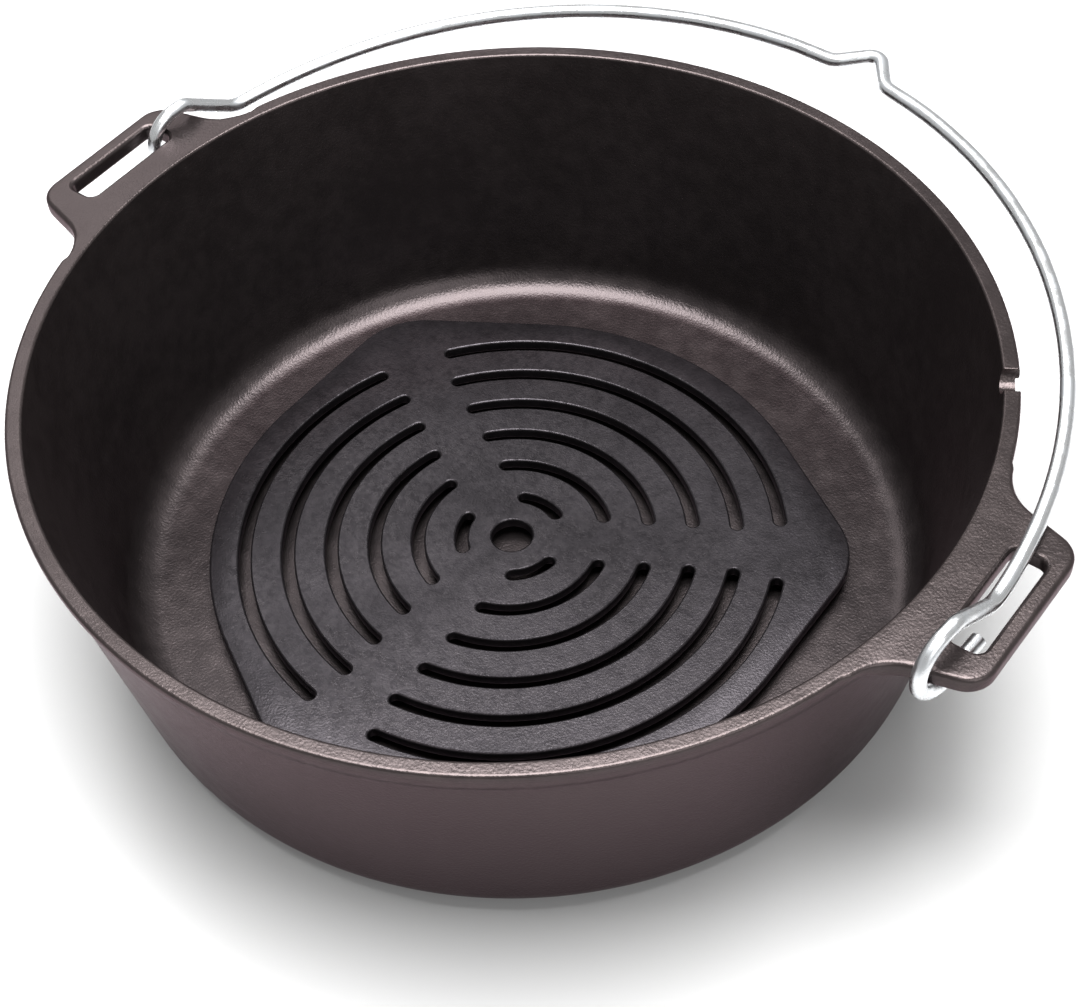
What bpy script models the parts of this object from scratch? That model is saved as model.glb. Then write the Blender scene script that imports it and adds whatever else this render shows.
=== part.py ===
"""Cast iron dutch oven: a tapered pot with two slotted lugs, a wire bail hooked into the lugs,
and a loose slotted grate standing on the pot's floor.

Metres, +Z up. The origin is the middle of the pot's flat underside. +X runs out through one lug,
and the bail lies down towards +Y. Run with blender --background --python part.py.
"""

import math

import bmesh
import bpy
from mathutils import Matrix, Vector

MM = 0.001
TOUCH_GAP = 0.3 * MM  # air kept between pieces that rest on each other

# Pot
RIM_RADIUS = 158.0 * MM  # outside of the rim's lip
POT_HEIGHT = 102.5 * MM
WALL = 4.5 * MM  # across the rim, inside the lip and its step
BASE = 6.0 * MM
DRAFT = math.radians(10.0)  # the wall leans out this far from upright
FLOOR_ROUND = 12.0 * MM  # fillet between the floor and the inside of the wall
CORNER_ROUND = 16.0 * MM  # round between the wall and the underside
LIP_PROUD = 0.8 * MM
LIP_HEIGHT = 3.0 * MM
BAND_PROUD = 0.45 * MM  # shallow band below the lip
BAND_TOP = 4.2 * MM  # both measured down from the rim
BAND_BOTTOM = 9.4 * MM
RIM_EDGE_ROUND = 1.1 * MM
POT_TURN_STEPS = 72

# Spout-like groove across the rim, for a thermometer's lead
NOTCH_ANGLE = math.radians(30.0)
NOTCH_RADIUS = 4.6 * MM

# Lugs, set out from the middle between them
LUG_OVERHANG = 24.3 * MM  # the tip's reach past the rim
LUG_SHIFT = 0.9 * MM  # both lugs were cast this far towards +X
LUG_THICK = 6.3 * MM
LUG_DROP = 0.15 * MM  # the rim is ground, and stands this much above the lugs
LUG_TIP_HALF = 29.0 * MM  # half width at the tip, before its corners are rounded
LUG_FLARE = math.radians(15.0)  # the sides spread towards the pot
LUG_CORNER_ROUND = 9.5 * MM
LUG_ROOT_ROUND = 18.0 * MM
LUG_EDGE_ROUND = 1.6 * MM
ROOT_BITE = 0.3 * MM  # the root's round ends this far inside the rim's outline
SLOT_BAR = 5.8 * MM  # iron left between the slot and the lug's tip
SLOT_WIDTH = 11.2 * MM
SLOT_HALF = 20.0 * MM
SLOT_ROUND = 3.2 * MM

# Bail
WIRE_RADIUS = 2.5 * MM
HOOK_PLAY = 0.6 * MM  # least air between a hook and the bar it turns on
HOOK_INSET = 3.3 * MM  # wire's middle, out from the slot's inner side
HOOK_TAIL = 16.5 * MM  # free end beyond the hook's round
HOOK_SHOULDER = 3.0 * MM  # straight wire above the bar
AXIS_RISE = 3.2 * MM  # the hinge line is this much high at +X and low at -X
ARCH_DROP = 2.2 * MM  # the arch's plane lies this far below the hinge line
ARCH_EXTRA = 0.4 * MM  # the arch is this much deeper than the hooks are from the middle
STEP_LENGTH = 18.5 * MM  # run of the double bend between hook and arch
STEP_ROUND = 11.0 * MM
REST_TILT = math.radians(6.45)  # arch above level when the bail lies on its lug
KINK_HALF = 11.4 * MM
KINK_HEIGHT = 10.0 * MM
KINK_FOOT_ROUND = 7.0 * MM
KINK_TIP_ROUND = 4.5 * MM
ARCH_STEPS = 56
BEND_STEP = math.radians(15.0)

# Grate
GRATE_CLEARANCE = 9.6 * MM  # from a lobe's tip to the foot of the floor's fillet, when centred
GRATE_THICK = 4.2 * MM
GRATE_SHIFT = Vector((-3.0 * MM, -2.5 * MM))  # it stands loose, a little off the middle
SPOKE_ANGLES = [math.radians(degrees) for degrees in (30.0, 150.0, 270.0)]
LOBE_SPREAD = math.radians(29.0)  # flat sides leave the circle this far either side of a spoke
LOBE_ROUND = 28.0 * MM
GRATE_EDGE_ROUND = 0.8 * MM
FOOT_HEIGHT = 3.8 * MM
FOOT_RADIUS = 8.0 * MM
FOOT_TAPER = 1.2 * MM
FOOT_FROM_LOBE_TIP = 13.0 * MM
HOLE_RADIUS = 7.1 * MM
SLIT_ROWS = 6
SLIT_FIRST_RADIUS = 17.6 * MM
GRATE_BORDER = 12.1 * MM  # from the outermost row's middle line to the round edge
SLIT_WIDTH = 4.2 * MM
SPOKE_HALF = 8.6 * MM
OUTER_SPOKE_HALF = 11.7 * MM  # the outermost row stops a little shorter

# Sizes that follow from the ones above
WALL_SLOPE = math.tan(DRAFT)
WALL_TOP_RADIUS = RIM_RADIUS - LIP_PROUD
BORE_TOP_RADIUS = WALL_TOP_RADIUS - WALL
FLOOR_EDGE_RADIUS = BORE_TOP_RADIUS - (POT_HEIGHT - BASE) * WALL_SLOPE
FLAT_FLOOR_RADIUS = FLOOR_EDGE_RADIUS - FLOOR_ROUND * math.tan((math.pi / 2 - DRAFT) / 2)
LUG_REACH = RIM_RADIUS + LUG_OVERHANG
SLOT_OUTER = LUG_REACH - SLOT_BAR
SLOT_INNER = SLOT_OUTER - SLOT_WIDTH
PIVOT_X = SLOT_INNER + HOOK_INSET
LUG_SIDE_AT_PIVOT = LUG_TIP_HALF + (LUG_REACH - PIVOT_X) * math.tan(LUG_FLARE)
PIVOT_Y = (SLOT_HALF + LUG_SIDE_AT_PIVOT) / 2
LUG_TOP = POT_HEIGHT - LUG_DROP
LUG_MID_HEIGHT = LUG_TOP - LUG_THICK / 2
ARCH_RISE = PIVOT_X + ARCH_EXTRA
LOBE_TIP_RADIUS = FLAT_FLOOR_RADIUS - GRATE_CLEARANCE
LOBE_CENTRE_RADIUS = LOBE_TIP_RADIUS - LOBE_ROUND
GRATE_RADIUS = LOBE_ROUND + LOBE_CENTRE_RADIUS * math.cos(LOBE_SPREAD)
SLIT_PITCH = (GRATE_RADIUS - GRATE_BORDER - SLIT_FIRST_RADIUS) / (SLIT_ROWS - 1)


def bar_reach():
    """Distance from the hinge line to the farthest point of the bar that a hook turns on."""
    across = (LUG_SIDE_AT_PIVOT - SLOT_HALF) / 2 - LUG_EDGE_ROUND
    upright = LUG_THICK / 2 + AXIS_RISE - LUG_EDGE_ROUND
    return math.hypot(across, upright) + LUG_EDGE_ROUND


HOOK_RADIUS = bar_reach() + HOOK_PLAY + WIRE_RADIUS


def clear_scene():
    """Remove every object, so that the file holds only this model."""
    for old in list(bpy.data.objects):
        bpy.data.objects.remove(old, do_unlink=True)


def material(name, colour, roughness, metallic):
    """One plain Principled material."""
    made = bpy.data.materials.new(name)
    made.use_nodes = True
    shader = made.node_tree.nodes["Principled BSDF"]
    shader.inputs["Base Color"].default_value = (*colour, 1.0)
    shader.inputs["Roughness"].default_value = roughness
    shader.inputs["Metallic"].default_value = metallic
    return made


def add_object(name, data, finish=None):
    """Link a mesh or a curve into the scene as one named object."""
    made = bpy.data.objects.new(name, data)
    bpy.context.scene.collection.objects.link(made)
    if finish:
        data.materials.append(finish)
    return made


def hide_form(form):
    """Mark an object as a cutter or a joined form, which isn't a piece of the model."""
    form.hide_render = True
    form.display_type = "WIRE"


def mesh_from(name, shape):
    """Turn a bmesh into a mesh with its faces pointing out."""
    bmesh.ops.remove_doubles(shape, verts=shape.verts, dist=0.00001)
    bmesh.ops.recalc_face_normals(shape, faces=shape.faces)
    mesh = bpy.data.meshes.new(name)
    shape.to_mesh(mesh)
    shape.free()
    return mesh


def smooth(made, degrees=35.0):
    """Shade a mesh smooth except across its sharp edges."""
    made.data.shade_smooth()
    made.data.set_sharp_from_angle(angle=math.radians(degrees))


def combine(target, form, operation):
    """Join a form to the target, or cut it away, with an exact Boolean."""
    modifier = target.modifiers.new(form.name, "BOOLEAN")
    modifier.operation = operation
    modifier.solver = "EXACT"
    modifier.object = form
    hide_form(form)


def arc(centre, radius, start, end, steps):
    """Points on a circle from one angle to another, both ends included."""
    points = []
    for step in range(steps + 1):
        angle = start + (end - start) * step / steps
        points.append(Vector((centre[0] + radius * math.cos(angle), centre[1] + radius * math.sin(angle))))
    return points


def rounded(corners, closed=False):
    """A path through (point, radius) corners, each turned with a fillet of its radius."""
    path = []
    count = len(corners)
    for index, (corner, radius) in enumerate(corners):
        if not closed and index in (0, count - 1):
            path.append(Vector(corner))
            continue
        here = Vector(corner)
        back = (Vector(corners[index - 1][0]) - here).normalized()
        ahead = (Vector(corners[(index + 1) % count][0]) - here).normalized()
        turn = math.pi - back.angle(ahead)
        if radius <= 0 or turn < math.radians(1.0):
            path.append(here)
            continue
        tangent = radius * math.tan(turn / 2)
        centre = here + (back + ahead).normalized() * math.hypot(tangent, radius)
        first = here + back * tangent - centre
        sweep = first.angle_signed(here + ahead * tangent - centre)
        steps = max(2, math.ceil(turn / BEND_STEP))
        for step in range(steps + 1):
            path.append(centre + Matrix.Rotation(-sweep * step / steps, 2) @ first)
    return path


def turned(name, profile, steps):
    """Turn a closed (radius, height) outline about the Z axis, leaving out its run along the axis."""
    shape = bmesh.new()
    ring = [shape.verts.new((radius, 0.0, height)) for radius, height in profile]
    edges = [shape.edges.new(pair) for pair in zip(ring, ring[1:]) if pair[0].co.x + pair[1].co.x > 0]
    bmesh.ops.spin(shape, geom=ring + edges, cent=(0, 0, 0), axis=(0, 0, 1), angle=math.tau, steps=steps)
    return mesh_from(name, shape)


def extrude_outlines(name, outlines, bottom, top):
    """Extrude flat closed outlines from one height to another."""
    shape = bmesh.new()
    for outline in outlines:
        face = shape.faces.new([shape.verts.new((point[0], point[1], bottom)) for point in outline])
        raised = bmesh.ops.extrude_face_region(shape, geom=[face])["geom"]
        moved = [item for item in raised if isinstance(item, bmesh.types.BMVert)]
        bmesh.ops.translate(shape, verts=moved, vec=(0, 0, top - bottom))
    return mesh_from(name, shape)


def bevel(target, width, segments, degrees):
    """Round the edges that turn by more than the given angle."""
    modifier = target.modifiers.new("edge_round", "BEVEL")
    modifier.width = width
    modifier.segments = segments
    modifier.limit_method = "ANGLE"
    modifier.angle_limit = math.radians(degrees)


def outer_radius(height):
    """Outside radius of the plain tapered wall at a height."""
    return WALL_TOP_RADIUS - (POT_HEIGHT - height) * WALL_SLOPE


def bore_radius(height):
    """Inside radius of the tapered wall at a height."""
    return BORE_TOP_RADIUS - (POT_HEIGHT - height) * WALL_SLOPE


def pot_profile():
    """Outline of the pot's section: down the outside, in along the base, and up the inside."""
    top = POT_HEIGHT
    lip_foot = top - LIP_HEIGHT
    band_top = top - BAND_TOP
    band_bottom = top - BAND_BOTTOM
    corners = [
        ((BORE_TOP_RADIUS + WALL / 2, top), 0),
        ((RIM_RADIUS, top), RIM_EDGE_ROUND),
        ((RIM_RADIUS, lip_foot), RIM_EDGE_ROUND / 2),
        ((outer_radius(lip_foot), lip_foot - (BAND_TOP - LIP_HEIGHT) / 2), 0),
        ((outer_radius(band_top), band_top), 0),
        ((outer_radius(band_top) + BAND_PROUD, band_top - BAND_PROUD), 0),
        ((outer_radius(band_bottom) + BAND_PROUD, band_bottom + BAND_PROUD), 0),
        ((outer_radius(band_bottom), band_bottom), 0),
        ((outer_radius(0.0), 0.0), CORNER_ROUND),
        ((0.0, 0.0), 0),
        ((0.0, BASE), 0),
        ((bore_radius(BASE), BASE), FLOOR_ROUND),
        ((BORE_TOP_RADIUS, top), RIM_EDGE_ROUND),
        ((BORE_TOP_RADIUS + WALL / 2, top), 0),
    ]
    return rounded(corners)


def lug_outline():
    """Plan of the +X lug: a flared ear with round corners and a concave root each side."""
    slope = math.tan(LUG_FLARE)
    outward = Vector((math.sin(LUG_FLARE), math.cos(LUG_FLARE)))
    tip = Vector((LUG_REACH, LUG_TIP_HALF))
    # The root's round touches the lug's side from outside, and ends just inside the rim.
    offset = outward.dot(tip) + LUG_ROOT_ROUND
    along = Vector((outward.y, -outward.x))
    reach = math.sqrt((RIM_RADIUS - ROOT_BITE + LUG_ROOT_ROUND) ** 2 - offset ** 2)
    centre = outward * offset + along * reach
    to_rim = math.atan2(-centre.y, -centre.x)
    to_side = math.atan2(-outward.y, -outward.x)
    root = arc(centre, LUG_ROOT_ROUND, to_rim, to_side, 6)
    corner = rounded([((LUG_REACH - 20 * MM, LUG_TIP_HALF + 20 * MM * slope), 0),
                      (tip, LUG_CORNER_ROUND), ((LUG_REACH, 0.0), 0)])[1:-1]
    upper = root + corner
    inside = RIM_RADIUS - LIP_PROUD - WALL / 2
    widest = math.atan2(root[0].y, root[0].x)
    inner = arc((0, 0), inside, -widest, widest, 12)
    lower = [Vector((point.x, -point.y)) for point in reversed(upper)]
    return inner + upper + lower


def slot_outline():
    """Plan of the +X lug's slot."""
    corners = [((SLOT_OUTER, -SLOT_HALF), SLOT_ROUND), ((SLOT_OUTER, SLOT_HALF), SLOT_ROUND),
               ((SLOT_INNER, SLOT_HALF), SLOT_ROUND), ((SLOT_INNER, -SLOT_HALF), SLOT_ROUND)]
    return rounded(corners, closed=True)


def add_lug(name, side):
    """A lug form with its slot, on the +X or the -X side."""
    outline = lug_outline()
    lug = add_object(name, extrude_outlines(name, [outline], LUG_TOP - LUG_THICK, LUG_TOP))
    cutter_mesh = extrude_outlines(name + "_slot", [slot_outline()], 0.0, 2 * POT_HEIGHT)
    cutter = add_object(name + "_slot", cutter_mesh)
    combine(lug, cutter, "DIFFERENCE")
    bevel(lug, LUG_EDGE_ROUND, 3, 50.0)
    for form in (lug, cutter):
        form.rotation_euler.z = 0.0 if side > 0 else math.pi
        form.location.x = LUG_SHIFT
    return lug


def add_notch():
    """Round cutter lying across the rim, for the lead's groove."""
    shape = bmesh.new()
    bmesh.ops.create_cone(shape, cap_ends=True, segments=32, radius1=NOTCH_RADIUS, radius2=NOTCH_RADIUS,
                          depth=RIM_RADIUS / 4)
    notch = add_object("rim_notch", mesh_from("rim_notch", shape))
    notch.rotation_euler = (0.0, math.pi / 2, NOTCH_ANGLE)
    middle = RIM_RADIUS - WALL / 2
    notch.location = (middle * math.cos(NOTCH_ANGLE), middle * math.sin(NOTCH_ANGLE), POT_HEIGHT)
    return notch


def make_pot(finish):
    """The pot casting: tapered body, two lugs and the groove in the rim."""
    pot = add_object("pot", turned("pot", pot_profile(), POT_TURN_STEPS), finish)
    smooth(pot)
    combine(pot, add_lug("lug_plus_x", 1), "UNION")
    combine(pot, add_lug("lug_minus_x", -1), "UNION")
    combine(pot, add_notch(), "DIFFERENCE")
    return pot


def hook_path():
    """One end of the bail in its own (forward, up) plane, from the free end to the arch."""
    up = HOOK_RADIUS
    path = [Vector((HOOK_TAIL, -up))]
    path += arc((0, 0), up, -math.pi / 2, -3 * math.pi / 2, 14)
    step_start = HOOK_SHOULDER + STEP_ROUND * math.tan(math.radians(10.0))
    step_end = step_start + STEP_LENGTH
    path += rounded([((0.0, up), 0), ((step_start, up), STEP_ROUND / 2), ((step_end, -ARCH_DROP), STEP_ROUND),
                     ((step_end + 2 * STEP_ROUND, -ARCH_DROP), 0)])[1:-1]
    return path


def arch_half_width(forward, half_chord):
    """Half width of the arch at a distance forward of the hinge line."""
    if forward <= 0:
        return half_chord
    return half_chord * math.sqrt(1 - (forward / ARCH_RISE) ** 2)


def bail_path(half_chord):
    """Middle line of the whole bail: along the hinge line, forward, and up from its plane."""
    hook = hook_path()
    right = [Vector((arch_half_width(forward, half_chord), forward, up)) for forward, up in hook]
    start = math.asin(hook[-1][0] / ARCH_RISE)
    straight = 2.2 * KINK_HALF
    end = math.acos(straight / half_chord)
    for step in range(1, ARCH_STEPS // 2 + 1):
        angle = start + (end - start) * step / (ARCH_STEPS // 2)
        right.append(Vector((half_chord * math.cos(angle), ARCH_RISE * math.sin(angle), -ARCH_DROP)))
    foot = ARCH_RISE * math.sqrt(1 - (KINK_HALF / half_chord) ** 2)
    kink = rounded([((straight, right[-1].y), 0), ((KINK_HALF, foot), KINK_FOOT_ROUND),
                    ((0.0, ARCH_RISE + KINK_HEIGHT + KINK_TIP_ROUND / 3), KINK_TIP_ROUND),
                    ((-KINK_HALF, foot), KINK_FOOT_ROUND), ((-straight, right[-1].y), 0)])[1:-1]
    middle = [Vector((across, forward, -ARCH_DROP)) for across, forward in kink]
    left = [Vector((-point.x, point.y, point.z)) for point in reversed(right)]
    return right + middle + left


def hinge_frame():
    """Middle of the hinge line, its half length, and the turn that lays the bail down."""
    low = Vector((LUG_SHIFT - PIVOT_X, PIVOT_Y, LUG_MID_HEIGHT - AXIS_RISE))
    high = Vector((LUG_SHIFT + PIVOT_X, -PIVOT_Y, LUG_MID_HEIGHT + AXIS_RISE))
    across = (high - low).normalized()
    level = Vector((0, 0, 1)).cross(across).normalized()
    upright = across.cross(level)
    forward = level * math.cos(REST_TILT) + upright * math.sin(REST_TILT)
    up = across.cross(forward)
    turn = Matrix((across, forward, up)).transposed()
    return (low + high) / 2, (high - low).length / 2, turn


def make_bail(finish):
    """The bail, one bent wire, with its origin on the hinge line."""
    middle, half_chord, turn = hinge_frame()
    curve = bpy.data.curves.new("bail", "CURVE")
    curve.dimensions = "3D"
    curve.bevel_depth = WIRE_RADIUS
    curve.bevel_resolution = 3
    curve.use_fill_caps = True
    path = bail_path(half_chord)
    spline = curve.splines.new("POLY")
    spline.points.add(len(path) - 1)
    for point, place in zip(spline.points, path):
        point.co = (*place, 1.0)
    bail = add_object("bail", curve, finish)
    bail.location = middle
    bail.rotation_euler = turn.to_euler()
    return bail


def grate_outline():
    """Plan of the grate: a circle with a blunt lobe at each spoke."""
    outline = []
    third = math.tau / len(SPOKE_ANGLES)
    for spoke in SPOKE_ANGLES:
        centre = (LOBE_CENTRE_RADIUS * math.cos(spoke), LOBE_CENTRE_RADIUS * math.sin(spoke))
        outline += arc(centre, LOBE_ROUND, spoke - LOBE_SPREAD, spoke + LOBE_SPREAD, 8)
        outline += arc((0, 0), GRATE_RADIUS, spoke + LOBE_SPREAD, spoke + third - LOBE_SPREAD, 14)
    return outline


def slit_outline(radius, start, end):
    """A curved slit with round ends, from one angle to another about the grate's middle."""
    half = SLIT_WIDTH / 2
    steps = max(4, math.ceil((end - start) / math.radians(8.0)))
    outer = arc((0, 0), radius + half, start, end, steps)
    inner = arc((0, 0), radius - half, end, start, steps)
    far = arc((radius * math.cos(end), radius * math.sin(end)), half, end, end + math.pi, 4)[1:-1]
    near = arc((radius * math.cos(start), radius * math.sin(start)), half, start + math.pi,
               start + math.tau, 4)[1:-1]
    return outer + far + inner + near


def grate_cuts():
    """Outlines of the hole and of every slit, row by row between the spokes."""
    cuts = [arc((0, 0), HOLE_RADIUS, 0, math.tau, 28)[:-1]]
    third = math.tau / len(SPOKE_ANGLES)
    for row in range(SLIT_ROWS):
        radius = SLIT_FIRST_RADIUS + row * SLIT_PITCH
        spoke_half = OUTER_SPOKE_HALF if row == SLIT_ROWS - 1 else SPOKE_HALF
        gap = math.asin((spoke_half + SLIT_WIDTH / 2) / radius)
        for spoke in SPOKE_ANGLES:
            cuts.append(slit_outline(radius, spoke + gap, spoke + third - gap))
    return cuts


def add_feet(floor):
    """The three short feet under the grate's lobes, reaching a little into the plate."""
    shape = bmesh.new()
    depth = FOOT_HEIGHT + GRATE_THICK / 2
    away = LOBE_TIP_RADIUS - FOOT_FROM_LOBE_TIP
    for spoke in SPOKE_ANGLES:
        place = Matrix.Translation((away * math.cos(spoke), away * math.sin(spoke), floor + depth / 2))
        bmesh.ops.create_cone(shape, cap_ends=True, segments=18, radius1=FOOT_RADIUS - FOOT_TAPER,
                              radius2=FOOT_RADIUS, depth=depth, matrix=place)
    return add_object("grate_feet", mesh_from("grate_feet", shape))


def make_grate(finish):
    """The grate casting: a lobed plate with slits, standing on three short feet."""
    floor = BASE + TOUCH_GAP
    plate_bottom = floor + FOOT_HEIGHT
    plate = extrude_outlines("grate", [grate_outline()], plate_bottom, plate_bottom + GRATE_THICK)
    grate = add_object("grate", plate, finish)
    bevel(grate, GRATE_EDGE_ROUND, 1, 50.0)
    feet = add_feet(floor)
    combine(grate, feet, "UNION")
    cuts = extrude_outlines("grate_slits", grate_cuts(), 0.0, POT_HEIGHT)
    slits = add_object("grate_slits", cuts)
    combine(grate, slits, "DIFFERENCE")
    for piece in (grate, feet, slits):
        piece.location.xy = GRATE_SHIFT
    smooth(grate)
    return grate


def main():
    """Build the whole oven."""
    clear_scene()
    iron = material("cast_iron", (0.045, 0.035, 0.034), 0.62, 0.35)
    grate_iron = material("grate_iron", (0.035, 0.034, 0.037), 0.55, 0.35)
    wire = material("plated_wire", (0.72, 0.73, 0.74), 0.28, 1.0)
    make_pot(iron)
    make_grate(grate_iron)
    make_bail(wire)


main()
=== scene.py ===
"""Looks of the cast iron dutch oven: finer castings, the bent wire bail, their finishes and the studio.

Metres, +Z up. The origin is the middle of the pot's flat underside, +X runs out through one lug,
and the bail lies down towards +Y.
"""

import logging
import math
from collections.abc import Callable
from dataclasses import dataclass
from enum import Enum

import bmesh
import bpy
import numpy as np
from mathutils import Matrix, Vector, kdtree, noise


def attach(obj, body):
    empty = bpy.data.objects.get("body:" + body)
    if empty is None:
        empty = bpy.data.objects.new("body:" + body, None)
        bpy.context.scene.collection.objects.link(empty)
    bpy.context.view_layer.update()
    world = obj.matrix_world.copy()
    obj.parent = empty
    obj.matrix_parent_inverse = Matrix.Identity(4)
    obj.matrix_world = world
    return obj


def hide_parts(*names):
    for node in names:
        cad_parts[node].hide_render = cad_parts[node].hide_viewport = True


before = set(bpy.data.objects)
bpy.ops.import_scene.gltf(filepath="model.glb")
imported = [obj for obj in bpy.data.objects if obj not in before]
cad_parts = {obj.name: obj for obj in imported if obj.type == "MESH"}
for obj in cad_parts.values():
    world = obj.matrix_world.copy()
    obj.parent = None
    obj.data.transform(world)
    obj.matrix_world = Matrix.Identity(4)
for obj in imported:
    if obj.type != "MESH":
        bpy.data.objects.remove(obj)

MM = 0.001
LOG = logging.getLogger("dutch_oven")
Colour = tuple[float, float, float]


class Side(Enum):
    """The two lugs, by the direction they stand out in."""

    PLUS_X = 1.0
    MINUS_X = -1.0


class Cut(Enum):
    """What a form does to the piece it is combined with."""

    JOIN = "UNION"
    REMOVE = "DIFFERENCE"


# ---------------------------------------------------------------- drawing and mesh helpers


def arc(centre: Vector, radius: float, start: float, end: float, steps: int) -> list[Vector]:
    """Points on a circle from one angle to another.

    Args:
        centre: Middle of the circle.
        radius: Its radius.
        start: First angle, in radians.
        end: Last angle, in radians.
        steps: Number of chords.

    Returns:
        The points, both ends included.
    """
    angles = (start + (end - start) * step / steps for step in range(steps + 1))
    return [Vector((centre[0] + radius * math.cos(a), centre[1] + radius * math.sin(a))) for a in angles]


def rounded(corners: list[tuple[Vector, float]], bend_step: float, closed: bool = False) -> list[Vector]:
    """A path through corners, each turned with a fillet.

    Args:
        corners: Pairs of a corner and its fillet radius.
        bend_step: Largest turn between two points of a fillet, in radians.
        closed: Whether the path comes back to its start.

    Returns:
        The points of the path.
    """
    path = []
    count = len(corners)
    for index, (corner, radius) in enumerate(corners):
        here = Vector(corner)
        if not closed and index in (0, count - 1):
            path.append(here)
            continue
        back = (Vector(corners[index - 1][0]) - here).normalized()
        ahead = (Vector(corners[(index + 1) % count][0]) - here).normalized()
        turn = math.pi - back.angle(ahead)
        if radius <= 0 or turn < math.radians(1.0):
            path.append(here)
            continue
        tangent = radius * math.tan(turn / 2)
        centre = here + (back + ahead).normalized() * math.hypot(tangent, radius)
        first = here + back * tangent - centre
        sweep = first.angle_signed(here + ahead * tangent - centre)
        steps = max(2, math.ceil(turn / bend_step))
        for step in range(steps + 1):
            path.append(centre + Matrix.Rotation(-sweep * step / steps, 2) @ first)
    return path


def smoothstep(low: float, high: float, value: np.ndarray) -> np.ndarray:
    """Blend from 0 to 1 between two values, with a soft start and end."""
    share = np.clip((value - low) / (high - low), 0.0, 1.0)
    return share * share * (3.0 - 2.0 * share)


def add_mesh(name: str, mesh: bpy.types.Mesh) -> bpy.types.Object:
    """Link a mesh into the scene as an object at the origin."""
    made = bpy.data.objects.new(name, mesh)
    bpy.context.scene.collection.objects.link(made)
    return made


def mesh_from(name: str, shape: bmesh.types.BMesh) -> bpy.types.Mesh:
    """Turn a bmesh into a mesh with merged doubles and outward faces.

    Args:
        name: Name of the mesh.
        shape: The bmesh, which is freed.

    Returns:
        The mesh.
    """
    bmesh.ops.remove_doubles(shape, verts=shape.verts, dist=1e-6)
    bmesh.ops.recalc_face_normals(shape, faces=shape.faces)
    mesh = bpy.data.meshes.new(name)
    shape.to_mesh(mesh)
    shape.free()
    return mesh


def loft(name: str, rings: list[list[Vector]]) -> bpy.types.Mesh:
    """Skin closed rings of equal count, and cap the first and the last.

    Args:
        name: Name of the mesh.
        rings: Rings of 3-D points, in order.

    Returns:
        A closed mesh.
    """
    shape = bmesh.new()
    rows = [[shape.verts.new(point) for point in ring] for ring in rings]
    for lower, upper in zip(rows, rows[1:]):
        for index in range(len(lower)):
            after = (index + 1) % len(lower)
            shape.faces.new((lower[index], lower[after], upper[after], upper[index]))
    shape.faces.new(rows[0])
    shape.faces.new(rows[-1])
    return mesh_from(name, shape)


def turned(name: str, profile: list[tuple[float, float]], steps: int) -> bpy.types.Mesh:
    """Turn a closed (radius, height) outline about the Z axis, leaving out its run along the axis.

    Args:
        name: Name of the mesh.
        profile: The outline.
        steps: Steps round the turn.

    Returns:
        A closed mesh.
    """
    shape = bmesh.new()
    ring = [shape.verts.new((radius, 0.0, height)) for radius, height in profile]
    pairs = zip(ring, ring[1:])
    edges = [shape.edges.new(pair) for pair in pairs if pair[0].co.x + pair[1].co.x > 0]
    bmesh.ops.spin(shape, geom=ring + edges, cent=(0, 0, 0), axis=(0, 0, 1), angle=math.tau, steps=steps)
    return mesh_from(name, shape)


def combine(target: bpy.types.Object, form: bpy.types.Object, cut: Cut) -> None:
    """Join a form to a piece, or cut it away, and throw the form away.

    Args:
        target: The piece, whose mesh is changed.
        form: The form.
        cut: What the form does.
    """
    modifier = target.modifiers.new(form.name, "BOOLEAN")
    modifier.operation = cut.value
    modifier.solver = "EXACT"
    modifier.object = form
    bake_down(target)
    bpy.data.objects.remove(form)


def bake_down(made: bpy.types.Object) -> None:
    """Turn an object's evaluated shape into its plain mesh, with no modifier left."""
    graph = bpy.context.evaluated_depsgraph_get()
    mesh = bpy.data.meshes.new_from_object(made.evaluated_get(graph), depsgraph=graph)
    made.modifiers.clear()
    old = made.data
    made.data = mesh
    mesh.name = made.name
    if old.users == 0 and isinstance(old, bpy.types.Mesh):
        bpy.data.meshes.remove(old)


def mark_edges(mesh: bpy.types.Mesh, name: str, full_turn: float, passes: int) -> None:
    """Store how sharply the surface turns outwards at each vertex, from 0 to 1.

    Args:
        mesh: The mesh to measure.
        name: Name of the point attribute.
        full_turn: Turn between neighbouring faces, in radians, that counts as 1.
        passes: Times the result is spread to the neighbours.
    """
    shape = bmesh.new()
    shape.from_mesh(mesh)
    value = np.zeros(len(shape.verts))
    for edge in shape.edges:
        if len(edge.link_faces) == 2 and edge.is_convex:
            turn = min(edge.calc_face_angle(0.0) / full_turn, 1.0)
            for vert in edge.verts:
                value[vert.index] = max(value[vert.index], turn)
    ends = np.array([[edge.verts[0].index, edge.verts[1].index] for edge in shape.edges])
    shape.free()
    for _ in range(passes):
        total = value.copy()
        count = np.ones(len(value))
        for near, far in ((0, 1), (1, 0)):
            np.add.at(total, ends[:, near], value[ends[:, far]])
            np.add.at(count, ends[:, near], 1.0)
        value = total / count
    store = mesh.attributes.new(name, "FLOAT", "POINT")
    store.data.foreach_set("value", value.astype(np.float32))


def finish_piece(made: bpy.types.Object, material: bpy.types.Material, sharp: float) -> None:
    """Give a piece its one material and smooth shading that breaks at sharp edges.

    Args:
        made: The piece.
        material: Its finish.
        sharp: Turn above which an edge shows as sharp, in degrees.
    """
    made.data.materials.clear()
    made.data.materials.append(material)
    made.data.polygons.foreach_set("material_index", [0] * len(made.data.polygons))
    made.data.shade_smooth()
    made.data.set_sharp_from_angle(angle=math.radians(sharp))


# ---------------------------------------------------------------- node helpers


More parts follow.
